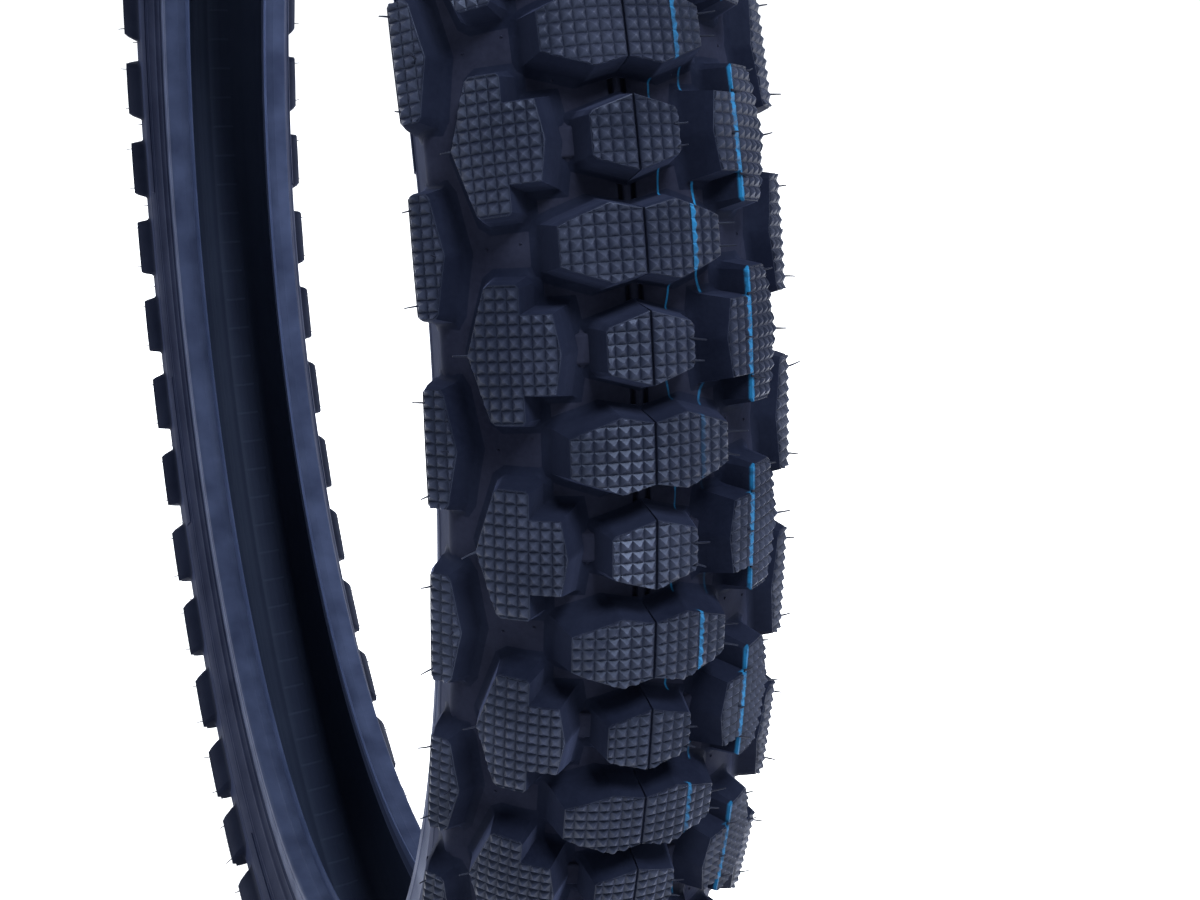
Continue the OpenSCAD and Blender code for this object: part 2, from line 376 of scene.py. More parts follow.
def rubber(name, look, relief=False, painted=False, grain=0.2):
    dark, light, specular, roughness = rubberLook[look]
    material, tree, shader, coords = startMaterial(name)
    patches = noise(tree, coords, rubberLook["patchScale"], 4, 0.6)
    fine = noise(tree, coords, rubberLook["grainScale"], 3, 0.6)
    tone = mapped(tree, patches, 0.3, 0.7, 0.0, 0.75)
    if relief:
        # Painted shade: the valleys between the pyramids are darker and their tips lighter
        attribute = node(tree, "Attribute", attribute_name="relief")
        paintedShade = mapped(tree, attribute.outputs["Fac"], 0.0, 1.0, *rubberLook["reliefShade"])
        tone = maths(tree, "ADD", tone, paintedShade)
    tone = maths(tree, "ADD", tone, mapped(tree, fine, 0.35, 0.65, -0.08, 0.08))
    colour = mixed(tree, mapped(tree, tone, 0.0, 1.0, 0.0, 1.0), dark, light)
    if painted:
        colour = mixed(tree, paintMask(tree, coords), colour, paintLook["colour"])
    tree.links.new(colour, shader.inputs["Base Color"])
    tree.links.new(mapped(tree, patches, 0.3, 0.7, *roughness), shader.inputs["Roughness"])
    glossed(shader, specular)
    coarse = bumped(tree, shader, patches, 0.25, 0.0008)
    bumped(tree, shader, fine, grain, 0.00025, coarse)
    return material


knobTopRubber = rubber("knob top rubber", "knobTop", relief=True, painted=True, grain=0.35)
# its darker tones are painted shade on the sides of the knobs
knobSideRubber = rubber("knob side rubber", "knobSide", painted=True)
floorRubber = rubber("groove floor rubber", "floor", painted=True)
sidewallRubber = rubber("sidewall rubber", "sidewall")
# its lighter tones are painted light on the bead faces
toeRubber = rubber("toe rubber", "toe")
hairRubber = rubber("vent hair rubber", "hair", grain=0.1)


linerLook = {
    "tones": ((0.0085, 0.0119, 0.0250), (0.0175, 0.0243, 0.0440)),
    "specular": 0.03,
    "patchScale": 26,
    "streakScale": 320,
    # the lighter band along the liner: its middle, and the half widths where it starts to fade and ends
    "bandOffset": -3.5,
    "bandHalf": (2, 10),
    # the marks across it: number round the tyre, offset, half length and how far they stray
    "marks": 124,
    "markOffset": 9,
    "markHalf": 6,
    "markStray": 6,
}


def linerMaterial():
    look = linerLook
    material, tree, shader, coords = startMaterial("liner rubber")
    patches = noise(tree, coords, look["patchScale"], 4, 0.6)
    parts = node(tree, "SeparateXYZ")
    tree.links.new(coords, parts.inputs[0])
    x, y, z = parts.outputs
    streakNode = node(tree, "TexNoise", noise_dimensions="1D")
    streakNode.inputs["Scale"].default_value = look["streakScale"]
    streakNode.inputs["Detail"].default_value = 2
    tree.links.new(y, streakNode.inputs["W"])
    streaks = streakNode.outputs["Fac"]
    # Short marks across the liner at even steps, as the building drum leaves them
    angle = maths(tree, "ARCTAN2", z, x)
    turn = maths(tree, "FRACT", maths(tree, "MULTIPLY", angle, look["marks"] / (2 * math.pi)))
    across = mapped(tree, maths(tree, "ABSOLUTE", maths(tree, "SUBTRACT", turn, 0.5)), 0.02, 0.05, 1.0, 0.0)
    place = maths(tree, "ADD", y, maths(tree, "MULTIPLY", patches, look["markStray"] * mm))
    gap = maths(tree, "ABSOLUTE", maths(tree, "SUBTRACT", place, look["markOffset"] * mm))
    reach = look["markHalf"] * mm
    ticks = maths(tree, "MULTIPLY", across, mapped(tree, gap, 0.9 * reach, reach, 1.0, 0.0))
    fromBand = maths(tree, "ABSOLUTE", maths(tree, "SUBTRACT", y, look["bandOffset"] * mm))
    low, high = look["bandHalf"]
    middle = mapped(tree, fromBand, low * mm, high * mm, 1.0, 0.0, smooth=True)
    streaked = maths(tree, "MULTIPLY", mapped(tree, streaks, 0.35, 0.7, 0.15, 0.9), middle)
    tone = maths(tree, "ADD", streaked, mapped(tree, ticks, 0.0, 1.0, 0.0, 0.5))
    tone = maths(tree, "ADD", tone, mapped(tree, patches, 0.3, 0.7, 0.0, 0.25))
    colour = mixed(tree, mapped(tree, tone, 0.0, 1.0, 0.0, 1.0), *look["tones"])
    tree.links.new(colour, shader.inputs["Base Color"])
    tree.links.new(mapped(tree, streaks, 0.3, 0.7, 0.7, 0.5), shader.inputs["Roughness"])
    glossed(shader, look["specular"])
    streakBump = bumped(tree, shader, streaks, 0.3, 0.0006)
    bumped(tree, shader, ticks, 0.3, 0.0004, streakBump)
    return material


chaferLook = {
    "tones": ((0.012, 0.0165, 0.035), (0.023, 0.031, 0.061)),
    "specular": 0.02,
    "patchScale": 60,
    "weaveScale": 260,
}


def chaferMaterial():
    # Rubbered fabric: two crossed wave patterns under the rubber
    look = chaferLook
    material, tree, shader, coords = startMaterial("chafer fabric")
    patches = noise(tree, coords, look["patchScale"], 3)
    weave = None
    for direction in ("X", "Z"):
        wave = node(tree, "TexWave", wave_type="BANDS", bands_direction=direction)
        wave.inputs["Scale"].default_value = look["weaveScale"]
        wave.inputs["Distortion"].default_value = 0.3
        tree.links.new(coords, wave.inputs["Vector"])
        weave = wave.outputs["Fac"] if weave is None else maths(tree, "MULTIPLY", weave, wave.outputs["Fac"])
    colour = mixed(tree, mapped(tree, patches, 0.3, 0.7, 0.0, 1.0), *look["tones"])
    tree.links.new(colour, shader.inputs["Base Color"])
    tree.links.new(mapped(tree, patches, 0.3, 0.7, 0.5, 0.38), shader.inputs["Roughness"])
    glossed(shader, look["specular"])
    patchBump = bumped(tree, shader, patches, 0.2, 0.0005)
    bumped(tree, shader, weave, 0.12, 0.0002, patchBump)
    return material


def cordMaterial(name, dark, light, scale, rough):
    # Parallel cords in rubber, for the hidden plies and tape
    material, tree, shader, coords = startMaterial(name)
    wave = node(tree, "TexWave", wave_type="BANDS", bands_direction="DIAGONAL")
    wave.inputs["Scale"].default_value = scale
    wave.inputs["Distortion"].default_value = 0.6
    tree.links.new(coords, wave.inputs["Vector"])
    patches = noise(tree, coords, 45, 3)
    tone = maths(tree, "MULTIPLY", wave.outputs["Fac"], mapped(tree, patches, 0.3, 0.7, 0.5, 1.0))
    tree.links.new(mixed(tree, tone, dark, light), shader.inputs["Base Color"])
    tree.links.new(mapped(tree, patches, 0.3, 0.7, rough - 0.08, rough + 0.08), shader.inputs["Roughness"])
    bumped(tree, shader, wave.outputs["Fac"], 0.5, 0.0003)
    return material


def wireMaterial():
    material, tree, shader, coords = startMaterial("bead wire bronze")
    patches = noise(tree, coords, 300, 3)
    colour = mixed(tree, mapped(tree, patches, 0.3, 0.7, 0.0, 1.0), (0.34, 0.22, 0.10), (0.55, 0.38, 0.19))
    tree.links.new(colour, shader.inputs["Base Color"])
    tree.links.new(mapped(tree, patches, 0.3, 0.7, 0.25, 0.42), shader.inputs["Roughness"])
    shader.inputs["Metallic"].default_value = 1.0
    bumped(tree, shader, patches, 0.1, 0.0001)
    return material


hiddenMaterials = {
    "body_ply_1": cordMaterial("body ply 1 cord", (0.05, 0.035, 0.022), (0.17, 0.12, 0.075), 420, 0.7),
    "body_ply_2": cordMaterial("body ply 2 cord", (0.06, 0.042, 0.027), (0.20, 0.14, 0.09), 420, 0.7),
    "breaker_1": cordMaterial("breaker 1 cord", (0.08, 0.06, 0.038), (0.25, 0.19, 0.12), 300, 0.65),
    "breaker_2": cordMaterial("breaker 2 cord", (0.09, 0.068, 0.044), (0.28, 0.21, 0.14), 300, 0.65),
    "bead_wrap": cordMaterial("bead wrap tape", (0.26, 0.22, 0.17), (0.48, 0.42, 0.33), 700, 0.8),
    "bead_filler": rubber("bead filler rubber", "core"),
    "bead_insulation": rubber("bead insulation rubber", "core"),
    "bead_wires": wireMaterial(),
}
for nodeName, cadObject in frame["nodes"].items():
    for start, material in hiddenMaterials.items():
        if nodeName.startswith(start):
            cadObject.data.materials.clear()
            cadObject.data.materials.append(material)
print("materials ready")


floorShape = {
    "slotOffset": 1.55,
    "slotWidth": 1.3,
    "slotDepth": 1.5,
    "slotRound": 0.2,
    "crownDrop": 0.05,  # how far the strip between the slots lies under the floor
    "breakersEnd": 40,  # degrees
    "edgeAngle": 60,  # where the base ends against the sidewall
}


def floorPoint(offset, depth=0.0):
    return np.array([floorC[0] + math.sqrt(tyre["floorArc"] ** 2 - offset ** 2) - depth, offset])


def floorSection():
    # The right half: strip between the slots, one slot, groove floor and shoulder
    a = floorShape["slotOffset"] - floorShape["slotWidth"] / 2
    b = floorShape["slotOffset"] + floorShape["slotWidth"] / 2
    r = floorShape["slotRound"]
    drop, deep = floorShape["crownDrop"], floorShape["slotDepth"]
    line = [floorPoint(0, drop), floorPoint(a - 2 * r, drop), floorPoint(a - 0.3 * r, 0.4 * r),
            floorPoint(a, 1.6 * r), floorPoint(a + 0.6 * r, deep),
            floorPoint(b - 0.6 * r, deep), floorPoint(b, 1.6 * r),
            floorPoint(b + 0.3 * r, 0.4 * r), floorPoint(b + 2 * r, 0)]
    line += arc(floorC, tyre["floorArc"], 4, tyre["floorEnd"], 2)
    line += arc(shoulderC, tyre["shoulderArc"], tyre["floorEnd"], tyre["shoulderEnd"], 7.5)[1:]
    return line


def underLine():
    # What the knobs stand on, without the slots: groove floor, shoulder and sidewall
    line = arc(floorC, tyre["floorArc"], 0, tyre["floorEnd"], 2)
    line += arc(shoulderC, tyre["shoulderArc"], tyre["floorEnd"], tyre["shoulderEnd"], 5)[1:]
    return line + [sideC + (tyre["sideArc"] + tyre["sidewallT"]) * normal(90)]


def makeTreadFloor():
    # The tread base with its twin slots along the middle
    inside = casing(-2 * tyre["breakerT"], floorShape["breakersEnd"])
    inside += [sideC + tyre["sideArc"] * normal(floorShape["edgeAngle"])]
    section = whole(floorSection()) + whole(inside)[::-1]
    verts, faces = revolve(section, tyre["segments"] * 2)
    addPiece("tread_floor", verts, faces, [floorRubber], ("tread_base",))


makeTreadFloor()


def measured(line):
    # The points of a line, the lengths of its steps, and how far along it each point lies
    points = np.array(line)
    steps = np.linalg.norm(np.diff(points, axis=0), axis=1)
    return points, steps, np.concatenate([[0], np.cumsum(steps)])


def pointOn(points, places, place):
    return np.array([np.interp(place, places, points[:, i]) for i in (0, 1)])


def ringed(line, rings):
    # Adds low rings to a line, raised towards its left; each is (place along it, height, half width)
    points, steps, places = measured(line)
    wanted = set(places.tolist())
    for place, _, half in rings:
        wanted.update(place + half * k for k in (-1.6, -1, -0.5, 0, 0.5, 1, 1.6))
    made = []
    for place in sorted(w for w in wanted if 0 <= w <= places[-1]):
        spot = pointOn(points, places, place)
        i = min(max(np.searchsorted(places, place) - 1, 0), len(steps) - 1)
        run = (points[i + 1] - points[i]) / steps[i]
        out = np.array([-run[1], run[0]])
        lift = sum(h * math.exp(-((place - p) / half) ** 2) for p, h, half in rings)
        made.append(spot + out * lift)
    return made


sidewallShape = {
    # height and half width of each ring, after its distance from the shoulder or from the foot
    "shoulderRings": [(12.2, 0.18, 0.6), (20.5, 0.12, 0.4), (22.5, 0.12, 0.4)],
    "footRings": [(6.5, 0.35, 1.1), (1.6, 0.2, 0.5)],
    "inside": (60, 100),  # degrees over which it lies on the plies
    "turnUpStart": 105,  # degrees where it starts to lie on their turned-up ends
}


def sidewallLine():
    top = shoulderC + tyre["shoulderArc"] * normal(tyre["shoulderEnd"])
    proud = tyre["sidewallT"]
    line = [top] + arc(sideC, tyre["sideArc"] + proud, 90, footAngles["out"], 2)
    return line + [outFoot(proud - tyre["gumT"])[0]]


def makeSidewall(side, name):
    shape = sidewallShape
    outside = sidewallLine()
    total = measured(outside)[2][-1]
    # The line runs down the outside, so the rings stand out on its right
    rings = [(place, -height, half) for place, height, half in shape["shoulderRings"]]
    rings += [(total - place, -height, half) for place, height, half in shape["footRings"]]
    outside = ringed(outside, rings)
    turnUp = 2 * tyre["plyT"] + tyre["gumT"]
    inside = arc(sideC, tyre["sideArc"], *shape["inside"])
    inside += arc(sideC, tyre["sideArc"] + turnUp, shape["turnUpStart"], footAngles["out"])
    inside += [outFoot(2 * tyre["plyT"])[0]]
    section = outside + inside[::-1]
    if side < 0:
        section = flipped(section)
    verts, faces = revolve(section, tyre["segments"])
    addPiece("moulded_" + name, verts, faces, [sidewallRubber], (name,))


blankPanels = {
    "edges": (13.6, 19.2),  # places of both edges down the sidewall
    "height": 0.45,
    "chamfer": 0.5,
    "sink": 0.4,
    "radius": 300,  # where the chamfer of the ends is measured
    "arcs": [(18, 46), (84, 16), (138, 46), (204, 16), (258, 46), (324, 16)],  # start and sweep, degrees
    "step": 1.5,
    "across": 5,
}


def makePanels(side, name):
    # Low plain panels where the sidewall carries its raised marks
    panel = blankPanels
    points, _, places = measured(sidewallLine())

    def spot(place, lift):
        # This far down the sidewall and this high over it
        here = pointOn(points, places, place)
        ahead = pointOn(points, places, place + 0.3)
        run = (ahead - here) / np.linalg.norm(ahead - here)
        return here - lift * np.array([-run[1], run[0]])

    verts, faces = [], []
    across = panel["across"]
    upper, lower = panel["edges"]
    chamfer, height = panel["chamfer"], panel["height"]
    # How far each layer reaches past the top's outline, and its height
    layers = ((chamfer, -panel["sink"]), (0.25 * chamfer, 0.55 * height), (0, height))
    for start, sweep in panel["arcs"]:
        count = max(4, round(sweep / panel["step"]))
        first = len(verts)
        for wide, lift in layers:
            for i in range(count + 1):
                turn = wide / panel["radius"] * (2 * i / count - 1)
                angle = math.radians(start + sweep * i / count) + turn
                for j in range(across + 1):
                    t = j / across
                    place = upper - wide + t * (lower - upper + 2 * wide)
                    r, y = spot(place, lift)
                    verts.append((r * math.cos(angle), side * y, r * math.sin(angle)))
        n = across + 1
        layer = (count + 1) * n
        grid = [(i * n + j, (i + 1) * n + j, (i + 1) * n + j + 1, i * n + j + 1)
                for i in range(count) for j in range(across)]
        rim = [i * n for i in range(count + 1)] + [count * n + j for j in range(1, n)]
        rim += [i * n + across for i in range(count - 1, -1, -1)] + list(range(across - 1, 0, -1))
        made = [tuple(first + 2 * layer + k for k in quad) for quad in grid]
        made += [tuple(first + k for k in quad[::-1]) for quad in grid]
        for low in (0, layer):
            for i in range(len(rim)):
                a, c = first + low + rim[i], first + low + rim[(i + 1) % len(rim)]
                made.append((a, c, c + layer, a + layer))
        faces += made if side < 0 else [face[::-1] for face in made]
    # The middle layer is only a rim, so the points inside it go
    used = sorted({v for face in faces for v in face})
    index = {v: i for i, v in enumerate(used)}
    addPiece(name, [verts[v] for v in used], [tuple(index[v] for v in face) for face in faces],
             [sidewallRubber], sharp=30)


chaferShape = {
    "heelRound": 1.4,
    "rimRing": (4.5, -0.25, 0.4),  # place down the outside, height (negative stands out), half width
    "seatRing": [(0.1, 4.4), (-0.12, 3.9), (0, 3.4)],  # radius and offset from the seat's inner end
}


def makeChafer(side, name):
    inner = 2 * tyre["plyT"]
    outer = inner + tyre["chaferT"]
    heelRound = chaferShape["heelRound"]
    inside = outFoot(inner) + [np.array([coreBottom - inner, coreOut + inner]),
                               np.array([coreBottom - inner, tyre["coreIn"] - inner]),
                               np.array([linerEnd, tyre["coreIn"] - inner])]
    heel = np.array([coreBottom - outer, coreOut + outer])
    heelC = heel + np.array([heelRound, -heelRound])
    seatEnd = np.array([coreBottom - outer, tyre["coreIn"] - outer])
    shin = ringed([outFoot(outer)[-1], heelC + np.array([0, heelRound])], [chaferShape["rimRing"]])
    outside = outFoot(outer)[:-1] + shin + arc(heelC, heelRound, 90, 180, 15)[1:]
    outside += [seatEnd + np.array(step) for step in chaferShape["seatRing"]]
    outside += [seatEnd, np.array([linerEnd, tyre["coreIn"] - outer])]
    section = inside + outside[::-1]
    if side < 0:
        section = flipped(section)
    verts, faces = revolve(section, tyre["segments"])
    addPiece("bead_" + name, verts, faces, [chaferFabric], (name,), sharp=30)


toeShape = {
    "drop": 2.9,
    "reach": 1.4,
    "lip": 0.35,
    "tip": [(0.6, 1.9), (0, 0.9), (0, 0.3), (0.4, 0), (1.4, 0.1)],  # its blunt end, in lips
}


def makeToe(side, name):
    outer = 2 * tyre["plyT"] + tyre["chaferT"]
    linerIn = tyre["coreIn"] - 2 * tyre["plyT"] - tyre["linerT"]
    tip = np.array([coreBottom - outer - toeShape["drop"], linerIn - toeShape["reach"]])
    section = [np.array([radius, tyre["coreIn"] - outer]) for radius in (linerEnd, coreBottom - outer)]
    section += [tip + toeShape["lip"] * np.array(step) for step in toeShape["tip"]]
    section += [np.array([linerEnd, linerIn])]
    if side < 0:
        section = flipped(section)
    verts, faces = revolve(section, tyre["segments"])
    addPiece("moulded_" + name, verts, faces, [toeRubber], (name,), sharp=50)


linerShape = {
    # low ridges left by the edges of the bladder and of the plies underneath: height and half
    # width, after the distance from the middle plane or from the edge of the liner
    "middleRidges": [(6, 0.12, 0.8), (13, 0.1, 0.6), (27, 0.15, 0.9), (41, 0.2, 1.0)],
    "edgeRidges": [(30, 0.15, 0.8), (12, 0.25, 1.0)],
}


def makeLiner():
    outer = 2 * tyre["plyT"]
    inner = outer + tyre["linerT"]

    def halfLine(depth):
        end = np.array([linerEnd, tyre["coreIn"] - depth])
        return casing(depth, footAngles["in"]) + inFoot(depth) + [end]

    bare = halfLine(inner)
    total = measured(bare)[2][-1]
    ridges = linerShape["middleRidges"] + [(total - p, h, w) for p, h, w in linerShape["edgeRidges"]]
    section = whole(halfLine(outer)) + whole(ringed(bare, ridges))[::-1]
    verts, faces = revolve(section, tyre["segments"])
    addPiece("moulded_inner_liner", verts, faces, [linerRubber], ("inner_liner",))


chaferFabric = chaferMaterial()
linerRubber = linerMaterial()
for side, sideName in ((-1, "left"), (1, "right")):
    makeSidewall(side, "sidewall_" + sideName)
    makePanels(side, "sidewall_panels_" + sideName)
    makeChafer(side, "chafer_" + sideName)
    makeToe(side, "toe_strip_" + sideName)
makeLiner()
print("casing surfaces ready")


knobDetail = {
    "pyramidPitch": 2.79,
    "pyramidHeight": 1.0,
    "tip": 0.24,
    "rim": 0.26,
    "valleySink": 0.55,  # how far valleys and rim lie under the crown, as shares of that height
    "rimSink": 0.45,
    "edgeRadius": 0.22,
    "draft": 0.14,  # lean of the sides, as a slope
    "midway": 0.45,
    "footRadius": 2.0,
    "footSink": 0.5,
    # relief values of the rim and the sides, from which the top's material paints shade
    "rimRelief": 0.3,
    "sideRelief": 0.2,
}


# A knob is drawn in a frame tilted with its top: u across the tyre, v round it and w out of it
def inTilt(s, tilt):
    return tyre["crownArc"] * math.sin(s / tyre["crownArc"] - math.radians(tilt))


def sectionPoint(u, w, tilt):
    return crownC + w * normal(tilt) + u * along(tilt)


def onCrown(u, v, tilt):
    # Height in the tilted frame of the curve over the knobs
    w = math.sqrt(tyre["crownArc"] ** 2 - u * u)
    for _ in range(4):
        r, y = sectionPoint(u, w, tilt)
        w -= math.hypot(math.hypot(r, v) - crownC[0], y) - tyre["crownArc"]
    return w


def onUnder(u, v, tilt, line):
    # Height in the tilted frame at which a line down through (u, v) meets the tyre under the knobs
    lift = 6  # the line starts this far over the first guess
    down = -normal(tilt)
    w = onCrown(u, v, tilt) - tyre["knobHeight"]
    for _ in range(3):
        r, y = sectionPoint(u, w + lift, tilt)
        start = np.array([math.hypot(r, v), y])
        best = None
        for p, q in zip(line[:-1], line[1:]):
            edge = q - p
            cross = down[0] * edge[1] - down[1] * edge[0]
            if abs(cross) < 1e-9:
                continue
            gap = p - start
            reach = (gap[0] * edge[1] - gap[1] * edge[0]) / cross
            share = (gap[0] * down[1] - gap[1] * down[0]) / cross
            if -0.001 <= share <= 1.001 and (best is None or abs(reach - lift) < abs(best - lift)):
                best = reach
        if best is None:
            return w
        w += lift - best
    return w


def moveEdges(polygon, outward):
    # Each edge of a counterclockwise polygon moved outward by its own distance
    p = np.array(polygon, float)
    q = np.roll(p, -1, axis=0)
    run = (q - p) / np.linalg.norm(q - p, axis=1)[:, None]
    out = np.column_stack([run[:, 1], -run[:, 0]])
    starts = p + out * np.asarray(outward, float)[:, None]
    moved = []
    for i in range(len(p)):
        a, da = starts[i - 1], run[i - 1]
        b, db = starts[i], run[i]
        cross = da[0] * db[1] - da[1] * db[0]
        gap = b - a
        if abs(cross) < 1e-6:
            moved.append(b)
        else:
            moved.append(a + da * (gap[0] * db[1] - gap[1] * db[0]) / cross)
    return np.array(moved)


def clipFace(face, convex):
    # face: list of (u, v, h); convex: counterclockwise polygon
    for i in range(len(convex)):
        a, b = convex[i], convex[(i + 1) % len(convex)]
        edge = b - a
        kept = []
        sides = [edge[0] * (p[1] - a[1]) - edge[1] * (p[0] - a[0]) for p in face]
        for j, p in enumerate(face):
            k = (j + 1) % len(face)
            if sides[j] >= -1e-9:
                kept.append(p)
            if (sides[j] > 1e-9 and sides[k] < -1e-9) or (sides[j] < -1e-9 and sides[k] > 1e-9):
                t = sides[j] / (sides[j] - sides[k])
                kept.append(tuple(p[c] + t * (face[k][c] - p[c]) for c in range(3)))
        face = kept
        if len(face) < 3:
            return []
    return face


def knurl(parts, origin):
    # Rows of blunt pyramids cut to the convex parts. Returns points (u, v, h) and faces.
    d = knobDetail
    pitch, height, tip = d["pyramidPitch"], d["pyramidHeight"], d["tip"] / 2
    index = {}
    points = []
    faces = []
    for part in parts:
        low = np.floor((part.min(axis=0) - origin) / pitch).astype(int)
        high = np.ceil((part.max(axis=0) - origin) / pitch).astype(int)
        for i in range(low[0], high[0]):
            for j in range(low[1], high[1]):
                u0 = origin[0] + i * pitch
                v0 = origin[1] + j * pitch
                c = [(u0, v0, 0), (u0 + pitch, v0, 0), (u0 + pitch, v0 + pitch, 0), (u0, v0 + pitch, 0)]
                uc, vc = u0 + pitch / 2, v0 + pitch / 2
                t = [(uc - tip, vc - tip, height), (uc + tip, vc - tip, height),
                     (uc + tip, vc + tip, height), (uc - tip, vc + tip, height)]
                cell = [[c[k], c[(k + 1) % 4], t[(k + 1) % 4], t[k]] for k in range(4)] + [t]
                for face in cell:
                    cut = clipFace(face, part)
                    ids = []
                    for p in cut:
                        key = (round(p[0], 3), round(p[1], 3), round(p[2], 3))
                        if key not in index:
                            index[key] = len(points)
                            points.append(p)
                        if index[key] not in ids:
                            ids.append(index[key])
                    if len(ids) > 2:
                        faces.append(ids)
    return points, faces


def outerLoop(faces):
    # The points round the outside of a sheet of faces, in order
    nextPoint = {}
    edges = {(f[i], f[(i + 1) % len(f)]) for f in faces for i in range(len(f))}
    for a, b in edges:
        if (b, a) not in edges:
            nextPoint[a] = b
    start = next(iter(nextPoint))
    loop = [start]
    while nextPoint[loop[-1]] != start and len(loop) <= len(nextPoint):
        loop.append(nextPoint[loop[-1]])
    return loop


def onEdges(point, polygon):
    # Which edge of the polygon a boundary point lies on, and how far along it
    best = None
    for i in range(len(polygon)):
        a, b = polygon[i], polygon[(i + 1) % len(polygon)]
        edge = b - a
        share = float(np.dot(point - a, edge) / np.dot(edge, edge))
        share = min(max(share, 0), 1)
        gap = float(np.linalg.norm(a + share * edge - point))
        if best is None or gap < best[0] - 1e-6:
            best = (gap, i, share)
    return best[1], best[2]


def buildKnob(shape, seat):
    # One knob: knurled top, plain rim, rounded edge, drafted sides and a rounded foot
    d = knobDetail
    tilt = shape["tilt"]
    outline = np.array([(inTilt(s, tilt), share * pitchMm) for s, share in shape["outline"]])
    count = len(outline)
    ease = np.array(shape.get("ease", [1] * count), float)
    lean = np.array([shape.get("leans", {}).get(i, d["draft"] * ease[i]) for i in range(count)])
    spread = np.array([shape.get("feet", {}).get(i, 1) for i in range(count)]) * ease
    middle = (outline[:, 0].min() + outline[:, 0].max()) / 2
    roll = math.tan(math.radians(shape.get("roll", 0)))
    inset = moveEdges(outline, -d["rim"] * ease)
    parts = [np.array(part) for part in shape["split"](inset)] if "split" in shape else [inset]
    points, faces = knurl(parts, shape["grid"])
    verts = []
    relief = []
    for u, v, h in points:
        w = onCrown(u, v, tilt) + (u - middle) * roll - d["pyramidHeight"] * d["valleySink"] + h
        r, y = sectionPoint(u, w, tilt)
        verts.append((r, y, v))
        relief.append(h / d["pyramidHeight"])
    loop = outerLoop(faces)
    placed = [onEdges(np.array(points[i][:2]), inset) for i in loop]
    height = shape.get("height", tyre["knobHeight"])
    radius, foot = d["edgeRadius"], d["footRadius"]
    # offset of the outline, height as a share of the knob's, and lift; the first three have the top's finish
    topRows = 3
    rows = [(-d["rim"] * ease, 1, 0), (-radius * ease, 1, 0)]
    for a in (45, 90):
        sine, cosine = math.sin(math.radians(a)), math.cos(math.radians(a))
        rows.append((-radius * (1 - sine) * ease, 1, -radius * (1 - cosine)))
    baseOffset = (height - foot) * lean
    rows.append((baseOffset * d["midway"], 1 - d["midway"] * (height - foot) / height, 0))
    for a in (0, 30, 60, 90):
        sine, cosine = math.sin(math.radians(a)), math.cos(math.radians(a))
        rows.append((baseOffset + foot * (1 - cosine) * spread, foot * (1 - sine) / height, 0))
    rows.append((baseOffset + foot * spread, 0, -d["footSink"]))
    finish = [0] * len(faces)
    previous = loop
    for number, (offset, share, lift) in enumerate(rows):
        polygon = moveEdges(outline, offset)
        current = []
        for edge, part in placed:
            u, v = polygon[edge] + part * (polygon[(edge + 1) % count] - polygon[edge])
            high = onCrown(u, v, tilt) + (u - middle) * roll - d["pyramidHeight"] * d["rimSink"]
            w = high if share == 1 else 0
            if share < 1:
                low = onUnder(u, v, tilt, seat)
                w = low + share * (high - low)
            r, y = sectionPoint(u, w + lift, tilt)
            current.append(len(verts))
            verts.append((r, y, v))
            relief.append(d["rimRelief"] if share == 1 else d["sideRelief"])
        for i in range(len(loop)):
            k = (i + 1) % len(loop)
            faces.append([previous[k], previous[i], current[i], current[k]])
            finish.append(0 if number < topRows else 1)
        previous = current
    faces.append(previous[::-1])
    finish.append(1)
    return verts, faces, relief, finish


def addKnobs(name, made, start, side, replaced):
    verts, faces, relief, finish = made
    ringVerts, ringFaces = aroundTyre(verts, faces, start, side)
    addPiece(name, ringVerts, ringFaces, [knobTopRubber, knobSideRubber], (replaced,),
             relief=relief * tyre["pitches"], finish=finish * tyre["pitches"])


sipe = {"width": 0.5, "depth": 6, "webHalf": 0.4}
sipeEdge = sipe["width"] / 2


def outlined(lower, innerTip=None, outerTip=None):
    # A knob's outline from its lower half: places along the crown, and round the tyre as shares of the pitch
    upper = [(place, -share) for place, share in lower[::-1]]
    start = [] if innerTip is None else [(innerTip, 0)]
    end = [] if outerTip is None else [(outerTip, 0)]
    return start + lower + end + upper


# For each edge of an outline, ease shrinks its rim, rounding, draft and foot, and feet shrinks its
# foot only. The grid is a corner of the knurling. A centre knob is two lobes, and web is the share
# of the pitch that the rubber at the bottom of the cut reaches each way.
wideKnob = {
    "tilt": 0,
    "outline": outlined([(sipeEdge, -0.151), (8, -0.187), (17.5, -0.118), (20, -0.095)]),
    "ease": [1, 1, 1, 1, 1, 1, 1, 0.12],
    "feet": {0: 0.45, 6: 0.45},
    "grid": (sipeEdge + 0.1, -2.5 * knobDetail["pyramidPitch"]),
    "web": 0.13,
}
smallKnob = {
    "tilt": 0,
    "outline": outlined([(sipeEdge, -0.176), (9.9, -0.113), (10.7, -0.094)]),
    "ease": [1, 1, 1, 1, 1, 0.12],
    "feet": {0: 0.45, 4: 0.45},
    "grid": (sipeEdge + 0.1, -2.5 * knobDetail["pyramidPitch"]),
    "web": 0.155,
}


def splitMid(inset):
    # Convex parts of a mid knob. Its corners are the inner tip, those of the lower wing,
    # the outer tip, and those of the upper wing.
    innerTip, l1, l2, l3, l4, l5, l6, outerTip, u6, u5, u4, u3, u2, u1 = inset

    def onRim(v, p, q):
        return p + (q - p) * (v - p[1]) / (q[1] - p[1])

    lowEnd = onRim(l2[1], l6, outerTip)
    highEnd = onRim(u2[1], outerTip, u6)
    return [[innerTip, l1, l2, u2, u1], [l2, lowEnd, outerTip, highEnd, u2],
            [l3, l4, l5, l6, lowEnd, l2], [u2, highEnd, u6, u5, u4, u3]]


